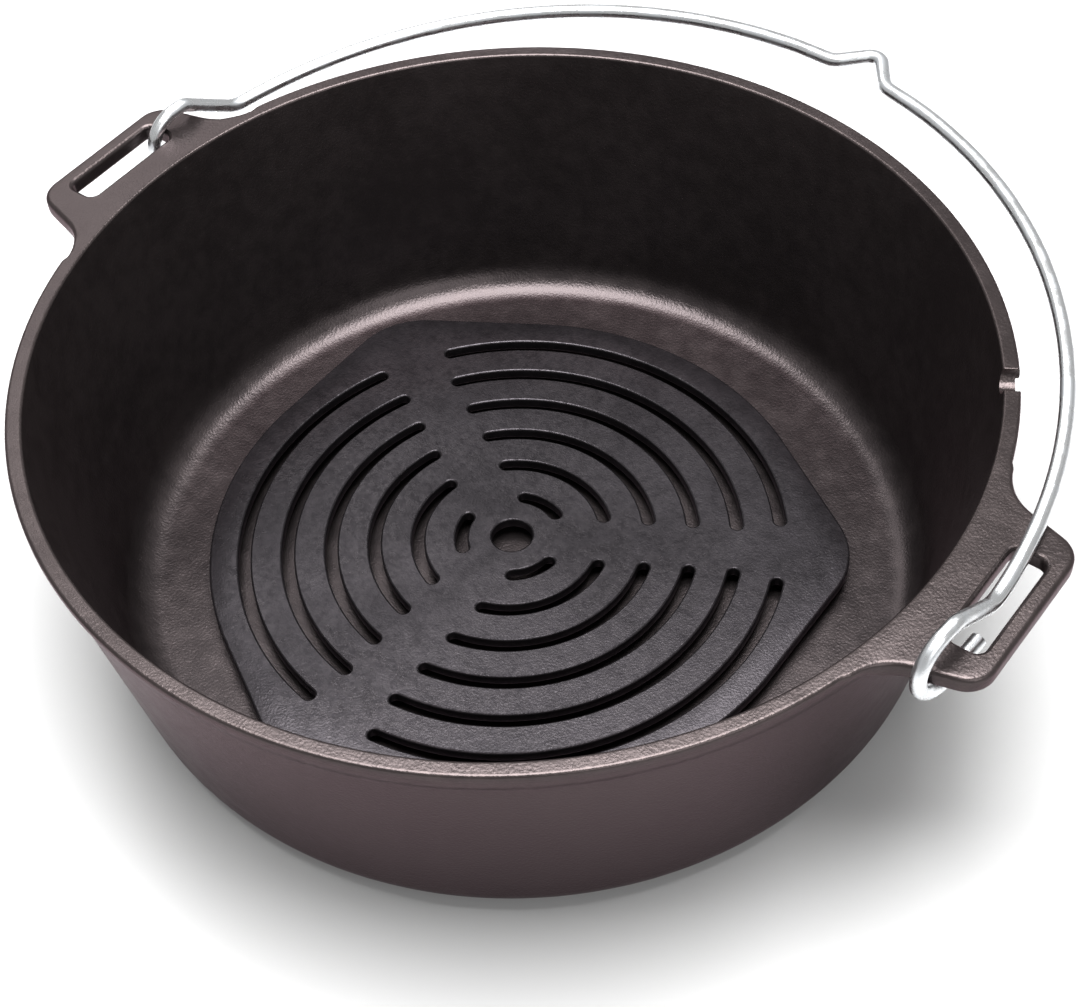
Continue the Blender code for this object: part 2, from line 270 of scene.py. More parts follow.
class NodeBench:
    """Adds and wires nodes in one tree."""

    def __init__(self, tree: bpy.types.NodeTree) -> None:
        """Start on an empty tree."""
        self.tree = tree
        tree.nodes.clear()

    def add(self, kind: str, inputs: dict | None = None, **settings: object) -> bpy.types.Node:
        """Add a node.

        Args:
            kind: Its type name.
            inputs: Input name or place to a socket to wire in, or to a fixed value.
            **settings: Properties to set first, because some change the sockets.

        Returns:
            The node.
        """
        node = self.tree.nodes.new(kind)
        for key, value in settings.items():
            setattr(node, key, value)
        for key, value in (inputs or {}).items():
            self.feed(node.inputs[key], value)
        return node

    def feed(self, socket: bpy.types.NodeSocket, value: object) -> None:
        """Wire a socket into another, or set its fixed value."""
        if isinstance(value, bpy.types.NodeSocket):
            self.tree.links.new(value, socket)
        else:
            socket.default_value = value

    def maths(self, operation: str, *values: object, clamp: bool = False) -> bpy.types.NodeSocket:
        """One Math node.

        Args:
            operation: The operation's name.
            *values: Sockets or numbers.
            clamp: Whether the result is kept from 0 to 1.

        Returns:
            The result's socket.
        """
        node = self.add("ShaderNodeMath", operation=operation, use_clamp=clamp)
        for socket, value in zip(node.inputs, values):
            self.feed(socket, value)
        return node.outputs[0]

    def mix(self, share: object, first: object, second: object) -> bpy.types.NodeSocket:
        """Blend two colours by a share, and return the result's socket."""
        node = self.add("ShaderNodeMix", data_type="RGBA", clamp_factor=True)
        self.feed(node.inputs[0], share)
        self.feed(node.inputs[6], first)
        self.feed(node.inputs[7], second)
        return node.outputs[2]

    def mix_value(self, share: object, first: object, second: object) -> bpy.types.NodeSocket:
        """Blend two numbers by a share, and return the result's socket."""
        node = self.add("ShaderNodeMix", data_type="FLOAT", clamp_factor=True)
        self.feed(node.inputs[0], share)
        self.feed(node.inputs[2], first)
        self.feed(node.inputs[3], second)
        return node.outputs[0]

    def span(self, value: object, low: float, high: float, start: float = 0.0, end: float = 1.0,
             soft: bool = True) -> bpy.types.NodeSocket:
        """Map a value's range to another, clamped.

        Args:
            value: The socket.
            low: Value that gives start.
            high: Value that gives end.
            start: Result at low.
            end: Result at high.
            soft: Whether the blend has a soft start and end.

        Returns:
            The result's socket.
        """
        kind = "SMOOTHSTEP" if soft else "LINEAR"
        node = self.add("ShaderNodeMapRange", interpolation_type=kind)
        for socket, given in zip(node.inputs, (value, low, high, start, end)):
            self.feed(socket, given)
        return node.outputs[0]

    def noise(self, vector: object, scale: object, detail: float = 3.0,
              rough: float = 0.5) -> bpy.types.NodeSocket:
        """One Noise texture's value.

        Args:
            vector: Where it is read.
            scale: Waves per metre.
            detail: Octaves.
            rough: Weight of the fine octaves.

        Returns:
            The value's socket.
        """
        given = {"Vector": vector, "Scale": scale, "Detail": detail, "Roughness": rough}
        return self.add("ShaderNodeTexNoise", given).outputs[0]


@dataclass
class Effect:
    """A shader node group with named inputs and outputs, built once and shared by the finishes."""

    name: str

    def __post_init__(self) -> None:
        """Make the empty group."""
        self.tree = bpy.data.node_groups.new(self.name, "ShaderNodeTree")
        self.bench = NodeBench(self.tree)
        self.given = self.bench.add("NodeGroupInput")
        self.result = self.bench.add("NodeGroupOutput")

    def takes(self, name: str, kind: str, default: object = None) -> bpy.types.NodeSocket:
        """Add a named input and return the socket that reads it inside the group."""
        made = self.tree.interface.new_socket(name, in_out="INPUT", socket_type=kind)
        if default is not None:
            made.default_value = default
        return self.given.outputs[name]

    def gives(self, name: str, kind: str, source: bpy.types.NodeSocket) -> None:
        """Add a named output and wire a socket to it."""
        self.tree.interface.new_socket(name, in_out="OUTPUT", socket_type=kind)
        self.bench.tree.links.new(source, self.result.inputs[name])

    def place(self, bench: NodeBench, inputs: dict) -> bpy.types.Node:
        """Put the group in a material with its own values."""
        node = bench.add("ShaderNodeGroup", node_tree=self.tree)
        for key, value in inputs.items():
            bench.feed(node.inputs[key], value)
        return node


class IronEffects:
    """The effects that both iron castings share: sand grain, seasoning and edge wear."""

    def __init__(self) -> None:
        """Build the three groups."""
        self.grain = self._sand_grain()
        self.seasoning = self._seasoning()
        self.wear = self._edge_wear()

    @staticmethod
    def _sand_grain() -> Effect:
        """Fine pebbled relief that a sand mould leaves, and the bright specks on its peaks."""
        effect = Effect("sand_grain")
        bench = effect.bench
        where = effect.takes("Vector", "NodeSocketVector")
        pitch = effect.takes("Grains Per Metre", "NodeSocketFloat", 900.0)
        coarse = bench.noise(where, bench.maths("MULTIPLY", pitch, 0.42), 2.0, 0.55)
        fine = bench.noise(where, bench.maths("MULTIPLY", pitch, 1.25), 4.0, 0.62)
        cells = bench.add("ShaderNodeTexVoronoi", {"Vector": where, "Scale": pitch, "Randomness": 1.0},
                          feature="SMOOTH_F1")
        pebbles = bench.maths("SUBTRACT", 1.0, cells.outputs["Distance"])
        relief = bench.maths("MULTIPLY_ADD", pebbles, 0.7, bench.maths("MULTIPLY", fine, 0.45))
        relief = bench.maths("MULTIPLY_ADD", coarse, 0.35, relief)
        specks = bench.span(bench.noise(where, bench.maths("MULTIPLY", pitch, 1.9), 2.0, 0.6), 0.56, 0.74)
        effect.gives("Height", "NodeSocketFloat", relief)
        effect.gives("Specks", "NodeSocketFloat", specks)
        return effect

    @staticmethod
    def _seasoning() -> Effect:
        """Baked oil coat: slow patches, mottling, and the roughness that goes with them."""
        effect = Effect("seasoning")
        bench = effect.bench
        where = effect.takes("Vector", "NodeSocketVector")
        deep = effect.takes("Deep", "NodeSocketColor", (0.02, 0.02, 0.02, 1.0))
        thin = effect.takes("Thin", "NodeSocketColor", (0.05, 0.04, 0.04, 1.0))
        dull = effect.takes("Dull Roughness", "NodeSocketFloat", 0.6)
        sleek = effect.takes("Sleek Roughness", "NodeSocketFloat", 0.45)
        patches = bench.noise(where, 16.0, 4.0, 0.55)
        mottle = bench.noise(where, 150.0, 4.0, 0.6)
        share = bench.maths("MULTIPLY_ADD", mottle, 0.45, bench.maths("MULTIPLY", patches, 0.55))
        share = bench.span(share, 0.36, 0.64)
        effect.gives("Color", "NodeSocketColor", bench.mix(share, deep, thin))
        effect.gives("Roughness", "NodeSocketFloat", bench.mix_value(share, sleek, dull))
        return effect

    @staticmethod
    def _edge_wear() -> Effect:
        """Where edges have been rubbed, broken up so that no edge wears evenly."""
        effect = Effect("edge_wear")
        bench = effect.bench
        where = effect.takes("Vector", "NodeSocketVector")
        edge = effect.takes("Edge", "NodeSocketFloat", 0.0)
        amount = effect.takes("Amount", "NodeSocketFloat", 0.5)
        broken = bench.noise(where, 420.0, 4.0, 0.65)
        slow = bench.noise(where, 38.0, 2.0, 0.5)
        ragged = bench.maths("MULTIPLY", bench.span(broken, 0.35, 0.62),
                             bench.span(slow, 0.3, 0.6, 0.35, 1.0))
        mask = bench.maths("MULTIPLY", bench.maths("MULTIPLY", edge, ragged), amount, clamp=True)
        effect.gives("Mask", "NodeSocketFloat", mask)
        return effect


# ---------------------------------------------------------------- finishes


@dataclass(frozen=True)
class CastIronFinish:
    """Seasoned sand-cast iron, pebbled, with rubbed edges and, on the pot, a ground top face.

    The mostly metallic coat with a dark edge tint keeps steep faces from turning pale at a slant. It is
    chosen for its tone, and isn't the optics of baked oil.
    """

    name: str
    deep: Colour
    thin: Colour
    # rubbed is the tone of rubbed edges, the ground rim and the grain specks, and also the lighter tone that
    # the painted shade lifts the pot's upper parts towards
    rubbed: Colour
    dull: float
    sleek: float
    grain_pitch: float
    grain_depth: float
    edge_amount: float
    ground_from: float | None = None
    specular: float = 0.5
    tint: Colour = (0.66, 0.555, 0.585)
    metallic: float = 0.85
    # Painted shade: from the first height to the second, the pot's colour is lightened by this share towards
    # the rubbed tone, so it is darker towards its floor and base
    painted_shade_low: float = 25.0 * MM
    painted_shade_high: float = 100.0 * MM
    painted_shade_share: float = 0.12
    ground_blend: float = 0.7 * MM
    ground_share: float = 0.1
    speck_share: float = 0.22
    wear_polish: float = 0.06

    def make(self, effects: IronEffects) -> bpy.types.Material:
        """Build the material.

        Args:
            effects: The shared effect groups.

        Returns:
            The material.
        """
        material = bpy.data.materials.new(self.name)
        material.use_nodes = True
        bench = NodeBench(material.node_tree)
        where = bench.add("ShaderNodeTexCoord").outputs["Object"]
        grain = effects.grain.place(bench, {"Vector": where, "Grains Per Metre": self.grain_pitch})
        coat = effects.seasoning.place(bench, {
            "Vector": where, "Deep": (*self.deep, 1.0), "Thin": (*self.thin, 1.0),
            "Dull Roughness": self.dull, "Sleek Roughness": self.sleek})
        edge = bench.add("ShaderNodeAttribute", attribute_name="edge").outputs["Fac"]
        wear = effects.wear.place(bench, {"Vector": where, "Edge": edge, "Amount": self.edge_amount})
        colour = coat.outputs["Color"]
        rubbed = (*self.rubbed, 1.0)
        if self.ground_from is not None:
            height = bench.add("ShaderNodeSeparateXYZ", {0: where}).outputs["Z"]
            # painted shade: lighter with height, darker towards the pot's floor and base, where less light
            # falls
            upper = bench.span(height, self.painted_shade_low, self.painted_shade_high)
            colour = bench.mix(bench.maths("MULTIPLY", upper, self.painted_shade_share), colour, rubbed)
            ground = bench.span(height, self.ground_from, self.ground_from + self.ground_blend)
            colour = bench.mix(bench.maths("MULTIPLY", ground, self.ground_share), colour, rubbed)
        specks = bench.maths("MULTIPLY", grain.outputs["Specks"], self.speck_share)
        colour = bench.mix(specks, colour, rubbed)
        colour = bench.mix(wear.outputs["Mask"], colour, rubbed)
        rough = bench.mix_value(wear.outputs["Mask"], coat.outputs["Roughness"],
                                self.sleek - self.wear_polish)
        bump = bench.add("ShaderNodeBump", {"Strength": 1.0, "Distance": self.grain_depth,
                                            "Height": grain.outputs["Height"]})
        shader = bench.add("ShaderNodeBsdfPrincipled", {
            "Base Color": colour, "Roughness": rough, "Metallic": self.metallic, "IOR": 1.5,
            "Specular IOR Level": self.specular, "Specular Tint": (*self.tint, 1.0),
            "Normal": bump.outputs[0]})
        out = bench.add("ShaderNodeOutputMaterial")
        bench.tree.links.new(shader.outputs[0], out.inputs[0])
        return material


@dataclass(frozen=True)
class PlatedWireFinish:
    """Bright zinc plate on drawn wire: lengthwise draw lines and a faint milky bloom."""

    name: str = "plated_wire"
    bright: Colour = (0.80, 0.81, 0.82)
    milky: Colour = (0.66, 0.68, 0.70)
    rough_low: float = 0.2
    rough_high: float = 0.34
    line_pitch: float = 26.0 / 6.0
    line_stretch: float = 9.0
    line_rough: float = 0.08
    bump_strength: float = 0.12
    bump_depth: float = 0.02 * MM

    def make(self) -> bpy.types.Material:
        """Build the material from the wire's own along and round attributes."""
        material = bpy.data.materials.new(self.name)
        material.use_nodes = True
        bench = NodeBench(material.node_tree)
        where = bench.add("ShaderNodeTexCoord").outputs["Object"]
        along = bench.add("ShaderNodeAttribute", attribute_name="along").outputs["Fac"]
        around = bench.add("ShaderNodeAttribute", attribute_name="around").outputs["Vector"]
        stretch = bench.maths("MULTIPLY", along, self.line_stretch)
        stretched = bench.add("ShaderNodeCombineXYZ", {2: stretch}).outputs[0]
        path = bench.add("ShaderNodeVectorMath", {0: around, 1: stretched}, operation="ADD").outputs[0]
        lines = bench.noise(path, self.line_pitch, 4.0, 0.6)
        bloom = bench.span(bench.noise(where, 130.0, 4.0, 0.6), 0.38, 0.66)
        colour = bench.mix(bloom, (*self.bright, 1.0), (*self.milky, 1.0))
        rough = bench.mix_value(bloom, self.rough_low, self.rough_high)
        rough = bench.maths("MULTIPLY_ADD", bench.span(lines, 0.45, 0.7), self.line_rough, rough)
        relief = bench.maths("MULTIPLY_ADD", bench.noise(where, 900.0, 2.0), 0.25, lines)
        bump = bench.add("ShaderNodeBump", {"Strength": self.bump_strength, "Distance": self.bump_depth,
                                            "Height": relief})
        shader = bench.add("ShaderNodeBsdfPrincipled", {
            "Base Color": colour, "Roughness": rough, "Metallic": 1.0, "Normal": bump.outputs[0]})
        out = bench.add("ShaderNodeOutputMaterial")
        bench.tree.links.new(shader.outputs[0], out.inputs[0])
        return material


@dataclass(frozen=True)
class TableFinish:
    """Mid-grey table top with a soft sheen, which the strong light overhead shows as white."""

    name: str = "pale_table"
    colour: Colour = (0.5, 0.5, 0.5)
    rough: float = 0.32
    specular: float = 0.35

    def make(self) -> bpy.types.Material:
        """Build the material."""
        material = bpy.data.materials.new(self.name)
        material.use_nodes = True
        shader = material.node_tree.nodes["Principled BSDF"]
        shader.inputs["Base Color"].default_value = (*self.colour, 1.0)
        shader.inputs["Roughness"].default_value = self.rough
        shader.inputs["Specular IOR Level"].default_value = self.specular
        return material


# ---------------------------------------------------------------- the pot


@dataclass
class PotCasting:
    """The pot: a tapered body with two slotted lugs and a groove across the rim."""

    rim_radius: float = 158.0 * MM
    height: float = 102.5 * MM
    wall: float = 4.5 * MM
    base: float = 6.0 * MM
    draft: float = math.radians(10.0)
    floor_round: float = 12.0 * MM
    corner_round: float = 16.0 * MM
    lip_proud: float = 0.8 * MM
    lip_height: float = 3.0 * MM
    band_proud: float = 0.45 * MM
    band_top: float = 4.2 * MM
    band_bottom: float = 9.4 * MM
    rim_round: float = 1.1 * MM
    notch_angle: float = math.radians(30.0)
    notch_radius: float = 4.6 * MM
    notch_round: float = 0.5 * MM
    lug_overhang: float = 24.3 * MM
    lug_shift: float = 0.9 * MM
    lug_thick: float = 6.3 * MM
    lug_drop: float = 0.15 * MM
    lug_tip_half: float = 29.0 * MM
    lug_flare: float = math.radians(15.0)
    lug_corner_round: float = 9.5 * MM
    lug_root_round: float = 18.0 * MM
    lug_edge_round: float = 1.6 * MM
    lug_foot_round: float = 6.0 * MM
    slot_bar: float = 5.8 * MM
    slot_width: float = 11.2 * MM
    slot_half: float = 20.0 * MM
    slot_round: float = 3.2 * MM
    lug_sweep: float = math.radians(20.0)
    fine_steps: int = 132
    plain_steps: int = 92
    casting_waver: float = 0.10 * MM
    plan_step: float = 0.25 * MM
    inset_step: float = 0.2 * MM

    def __post_init__(self) -> None:
        """Work out the sizes that follow from the others."""
        self.slope = math.tan(self.draft)
        self.wall_top = self.rim_radius - self.lip_proud
        self.bore_top = self.wall_top - self.wall
        self.flat_from = self.bore_top + 1.6 * self.rim_round
        self.lug_reach = self.rim_radius + self.lug_overhang

    def outer_radius(self, height: float) -> float:
        """Outside radius of the plain tapered wall at a height."""
        return self.wall_top - (self.height - height) * self.slope

    def bore_radius(self, height: float) -> float:
        """Inside radius of the tapered wall at a height."""
        return self.bore_top - (self.height - height) * self.slope

    def lug_outline(self) -> list[Vector]:
        """Upper half of the +X lug's plan, from its root on the rim to the middle of its tip."""
        outward = Vector((math.sin(self.lug_flare), math.cos(self.lug_flare)))
        tip = Vector((self.lug_reach, self.lug_tip_half))
        offset = outward.dot(tip) + self.lug_root_round
        along = Vector((outward.y, -outward.x))
        reach = math.sqrt((self.rim_radius + self.lug_root_round) ** 2 - offset ** 2)
        centre = outward * offset + along * reach
        to_rim = math.atan2(-centre.y, -centre.x)
        to_side = math.atan2(-outward.y, -outward.x)
        root = arc(centre, self.lug_root_round, to_rim, to_side, 24)
        back = 20 * MM
        start = Vector((self.lug_reach - back, self.lug_tip_half + back * math.tan(self.lug_flare)))
        corner = rounded([(start, 0.0), (tip, self.lug_corner_round), (Vector((self.lug_reach, 0.0)), 0.0)],
                         math.radians(5.0))
        return root + corner[1:]

    def plan(self) -> list[Vector]:
        """Closed plan of the rim with both lugs, in small steps."""
        upper = self.lug_outline()
        half = upper + [Vector((point.x, -point.y)) for point in reversed(upper[:-1])]
        corners = []
        for side in Side:
            turn = 0.0 if side is Side.PLUS_X else math.pi
            shift = Vector((self.lug_shift, 0.0))
            lug = [Matrix.Rotation(turn, 2) @ point + shift for point in reversed(half)]
            first = math.atan2(lug[-1].y, lug[-1].x)
            corners += lug
            span = math.pi - 2 * abs(math.atan2(upper[0].y, upper[0].x))
            corners += arc(Vector((0.0, 0.0)), self.rim_radius, first, first + span, 160)[1:-1]
        path = []
        for index, here in enumerate(corners):
            after = corners[(index + 1) % len(corners)]
            steps = max(1, math.ceil((after - here).length / self.plan_step))
            path += [here.lerp(after, step / steps) for step in range(steps)]
        return path

    def angles(self) -> np.ndarray:
        """Angles of the pot's sections, close together round the lugs."""
        fine = np.linspace(-self.lug_sweep, self.lug_sweep, self.fine_steps, endpoint=False)
        plain = np.linspace(self.lug_sweep, math.pi - self.lug_sweep, self.plain_steps, endpoint=False)
        return np.concatenate([fine, plain, fine + math.pi, plain + math.pi])

    def plan_radii(self, angles: np.ndarray, insets: list[float]) -> np.ndarray:
        """Radius of the plan along each angle, pulled in by each inset across the edge.

        Args:
            angles: The sections' angles.
            insets: Distances in from the edge.

        Returns:
            One row of radii for each inset.
        """
        path = self.plan()
        tree = kdtree.KDTree(len(path))
        for index, point in enumerate(path):
            tree.insert((point.x, point.y, 0.0), index)
        tree.balance()
        around = np.array([math.atan2(point.y, point.x) for point in path])
        order = np.argsort(around)
        length = np.array([point.length for point in path])
        whole = np.interp(angles, around[order], length[order], period=math.tau)
        rows = []
        for inset in insets:
            row = []
            for angle, edge in zip(angles, whole):
                low, high = edge - 4.0 * inset - 0.5 * MM, edge
                for _ in range(16 if inset > 0 else 0):
                    middle = (low + high) / 2
                    place = (middle * math.cos(angle), middle * math.sin(angle), 0.0)
                    if tree.find(place)[2] < inset:
                        high = middle
                    else:
                        low = middle
                row.append(high)
            rows.append(row)
        return np.array(rows)

    def body(self) -> bpy.types.Mesh:
        """Closed mesh of the pot with its lugs, before the slots and the groove are cut."""
        angles = self.angles()
        count = len(angles)
        edge = self.plan_radii(angles, [0.0])[0]
        lug = smoothstep(self.rim_radius + 0.4 * MM, self.rim_radius + 4.0 * MM, edge)
        rounds = self.rim_round + (self.lug_edge_round - self.rim_round) * lug
        table = [step * self.inset_step for step in range(9)]
        radii = self.plan_radii(angles, table)

        def inset_radius(insets: np.ndarray) -> np.ndarray:
            """Radius of the plan, pulled in by a distance of its own at each section."""
            place = np.clip(insets / table[1], 0.0, len(table) - 1.001)
            lower = place.astype(int)
            part = place - lower
            columns = np.arange(count)
            return radii[lower, columns] * (1 - part) + radii[lower + 1, columns] * part

        rows: list[tuple[np.ndarray, np.ndarray]] = []
        flat = np.ones(count)

        def add(radius: np.ndarray | float, height: np.ndarray | float) -> None:
            """Add one ring of the pot, from the middle of its floor round to the middle of its base."""
            rows.append((radius * flat, height * flat))

        for radius, height in self.inside_profile():
            add(radius, height)
        outer = inset_radius(rounds)
        for step in range(9):
            radius = self.flat_from + (outer - self.flat_from) * step / 9
            add(radius, self.top_height(radius, lug))
        for step in range(6):
            turn = math.pi / 2 * step / 5
            inset = rounds * (1 - math.sin(turn))
            radius = inset_radius(inset)
            add(radius, self.top_height(radius, lug) - rounds * (1 - math.cos(turn)))
        foot = self.height - self.lip_height + (self.lip_height - self.lug_thick - self.lug_drop) * lug
        foot_round = 0.5 * self.rim_round + (self.lug_edge_round - 0.5 * self.rim_round) * lug
        for step in range(5):
            turn = math.pi / 2 * step / 4
            radius = inset_radius(foot_round * (1 - math.cos(turn)))
            add(radius, foot + foot_round * (1 - math.sin(turn)))
        under = inset_radius(foot_round)
        wall_here = self.wall_top - (self.height - foot) * self.slope
        fillet = np.minimum(self.lug_foot_round, 0.55 * np.maximum(under - wall_here, 0.5 * MM))
        for share in (0.14, 0.36, 0.66):
            add(under + (wall_here + fillet - under) * share, foot)
        for step in range(7):
            turn = math.pi / 2 * step / 6
            height = foot - fillet * (1 - math.cos(turn))
            radius = self.wall_top - (self.height - height) * self.slope + fillet * (1 - math.sin(turn))
            add(radius, height)
        self.outside_profile(add, foot - fillet, lug)
        return self.skin(angles, rows)

    def inside_profile(self) -> list[Vector]:
        """Section of the inside, from just off the floor's middle to the rim."""
        floor = rounded([
            (Vector((0.0, self.base)), 0.0),
            (Vector((self.bore_radius(self.base), self.base)), self.floor_round),
            (Vector((self.bore_top, self.height)), self.rim_round),
            (Vector((self.flat_from, self.height)), 0.0)], math.radians(8.0))
        path = [Vector((floor[1].x * step / 10, self.base)) for step in range(1, 10)]
        for here, after in zip(floor[1:-1], floor[2:]):
            steps = max(1, math.ceil((after - here).length / (6.0 * MM)))
            path += [here.lerp(after, step / steps) for step in range(steps)]
        return path

    def top_height(self, radius: np.ndarray, lug: np.ndarray) -> np.ndarray:
        """Height of the top face: the ground rim stands a hair above the lugs."""
        return self.height - self.lug_drop * lug * smoothstep(self.rim_radius - 1.0 * MM,
                                                              self.rim_radius + 3.0 * MM, radius)

    def outside_profile(self, add: Callable[..., None], start: np.ndarray, lug: np.ndarray) -> None:
        """Add the outside below the lip: the shallow band, the wall, the corner and the base.

        Args:
            add: Takes a ring's radius and height.
            start: Height at which the wall starts, for each section.
            lug: 1 where the section is a lug, which hides the band.
        """
        low = self.height - 22.0 * MM
        plain_start = self.height - self.band_top
        proud = self.band_proud * (1 - lug)
        band = [(self.band_top, 0.0), (self.band_top + self.band_proud, 0.7), (self.band_top + 0.9 * MM, 1.0),
                (0.5 * (self.band_top + self.band_bottom), 1.0), (self.band_bottom - 0.9 * MM, 1.0),
                (self.band_bottom - self.band_proud, 0.7), (self.band_bottom, 0.0), (12.0 * MM, 0.0),
                (15.0 * MM, 0.0), (18.0 * MM, 0.0), (22.0 * MM, 0.0)]
        for depth, share in band:
            part = (plain_start - (self.height - depth)) / (plain_start - low)
            height = start + (low - start) * part
            add(self.wall_top - (self.height - height) * self.slope + proud * share, height)
        corner = rounded([
            (Vector((self.outer_radius(low), low)), 0.0),
            (Vector((self.outer_radius(0.0), 0.0)), self.corner_round),
            (Vector((0.0, 0.0)), 0.0)], math.radians(6.0))
        for step in range(1, 13):
            point = corner[0].lerp(corner[1], step / 13)
            add(point.x, point.y)
        for point in corner[1:-1]:
            add(point.x, point.y)
        for step in range(1, 8):
            add(corner[-2].x * (1 - step / 8), 0.0)

    def skin(self, angles: np.ndarray, rows: list[tuple[np.ndarray, np.ndarray]]) -> bpy.types.Mesh:
        """Skin the rings into one closed mesh with a slightly wavering cast surface.

        Args:
            angles: The sections' angles.
            rows: Radius and height of each ring at each section.

        Returns:
            The mesh.
        """
        shape = bmesh.new()
        rings = []
        for radius, height in rows:
            x, y = radius * np.cos(angles), radius * np.sin(angles)
            rings.append([shape.verts.new(point) for point in zip(x, y, height)])
        for lower, upper in zip(rings, rings[1:]):
            for index in range(len(angles)):
                after = (index + 1) % len(angles)
                shape.faces.new((lower[index], lower[after], upper[after], upper[index]))
        for ring, height in ((rings[0], self.base), (rings[-1], 0.0)):
            centre = shape.verts.new((0.0, 0.0, height))
            for index in range(len(angles)):
                shape.faces.new((ring[index], ring[(index + 1) % len(angles)], centre))
        bmesh.ops.recalc_face_normals(shape, faces=shape.faces)
        shape.normal_update()
        for vert in shape.verts:
            place = vert.co
            ground = min(max((self.height - place.z) / (2.5 * MM), 0.08), 1.0)
            standing = min(place.z / (4.0 * MM), 1.0) if place.z > 0 else 0.0
            sway = 0.5 + 0.5 * noise.noise(place * 45.0) + 0.3 * noise.noise(place * 160.0)
            vert.co = place - vert.normal * (self.casting_waver * max(sway, 0.0) * ground * standing)
        return mesh_from("pot_casting", shape)

    def slot_cutter(self, side: Side) -> bpy.types.Object:
        """Form that cuts one lug's slot and rounds its edges.

        Args:
            side: Which lug.

        Returns:
            The form.
        """
        top = self.height - self.lug_drop
        bottom = top - self.lug_thick
        rise = self.lug_edge_round
        levels = [(bottom - 1.5 * MM, rise + 1.4 * MM)]
        levels += [(bottom + rise * (1 - math.sin(turn)), rise * (1 - math.cos(turn)))
                   for turn in np.radians([78.0, 60.0, 40.0, 20.0, 0.0])]
        levels += [(top + bottom - height, margin) for height, margin in reversed(levels)]
        turn = 0.0 if side is Side.PLUS_X else math.pi
        far = self.lug_reach - self.slot_bar
        near = far - self.slot_width
        rings = []
        for height, margin in levels:
            corners = [(far + margin, -self.slot_half - margin), (far + margin, self.slot_half + margin),
                       (near - margin, self.slot_half + margin), (near - margin, -self.slot_half - margin)]
            outline = rounded([(Vector(corner), self.slot_round + margin) for corner in corners],
                              math.radians(10.0), closed=True)
            placed = [Matrix.Rotation(turn, 2) @ point for point in outline]
            rings.append([Vector((point.x + self.lug_shift, point.y, height)) for point in placed])
        return add_mesh("slot", loft("slot", rings))

    def notch_cutter(self) -> bpy.types.Object:
        """Form that cuts the half-round groove across the rim and rounds its lips."""
        half = arc(Vector((0.0, 0.0)), self.notch_radius, -math.pi / 2, math.radians(-8.0), 14)
        side = half[-1].x
        lip = [Vector((side + self.notch_round * (1 - math.cos(turn)),
                       -self.notch_round * (1 - math.sin(turn))))
               for turn in np.radians([0.0, 25.0, 50.0, 75.0])]
        right = half + lip + [Vector((side + 3.0 * self.notch_round, 1.0 * MM))]
        outline = right + [Vector((-point.x, point.y)) for point in reversed(right[1:])]
        rings = []
        for reach in (self.bore_top - 8.0 * MM, self.rim_radius + 8.0 * MM):
            place = Matrix.Rotation(self.notch_angle, 3, "Z")
            rings.append([place @ Vector((reach, point.x, self.height + point.y)) for point in outline])
        return add_mesh("notch", loft("notch", rings))

    def build(self, material: bpy.types.Material) -> bpy.types.Object:
        """Make the finished pot.

        Args:
            material: Its finish.

        Returns:
            The piece.
        """
        pot = add_mesh("pot_casting", self.body())
        for side in Side:
            combine(pot, self.slot_cutter(side), Cut.REMOVE)
        combine(pot, self.notch_cutter(), Cut.REMOVE)
        mark_edges(pot.data, "edge", math.radians(24.0), 1)
        finish_piece(pot, material, 32.0)
        return pot


# ---------------------------------------------------------------- the grate


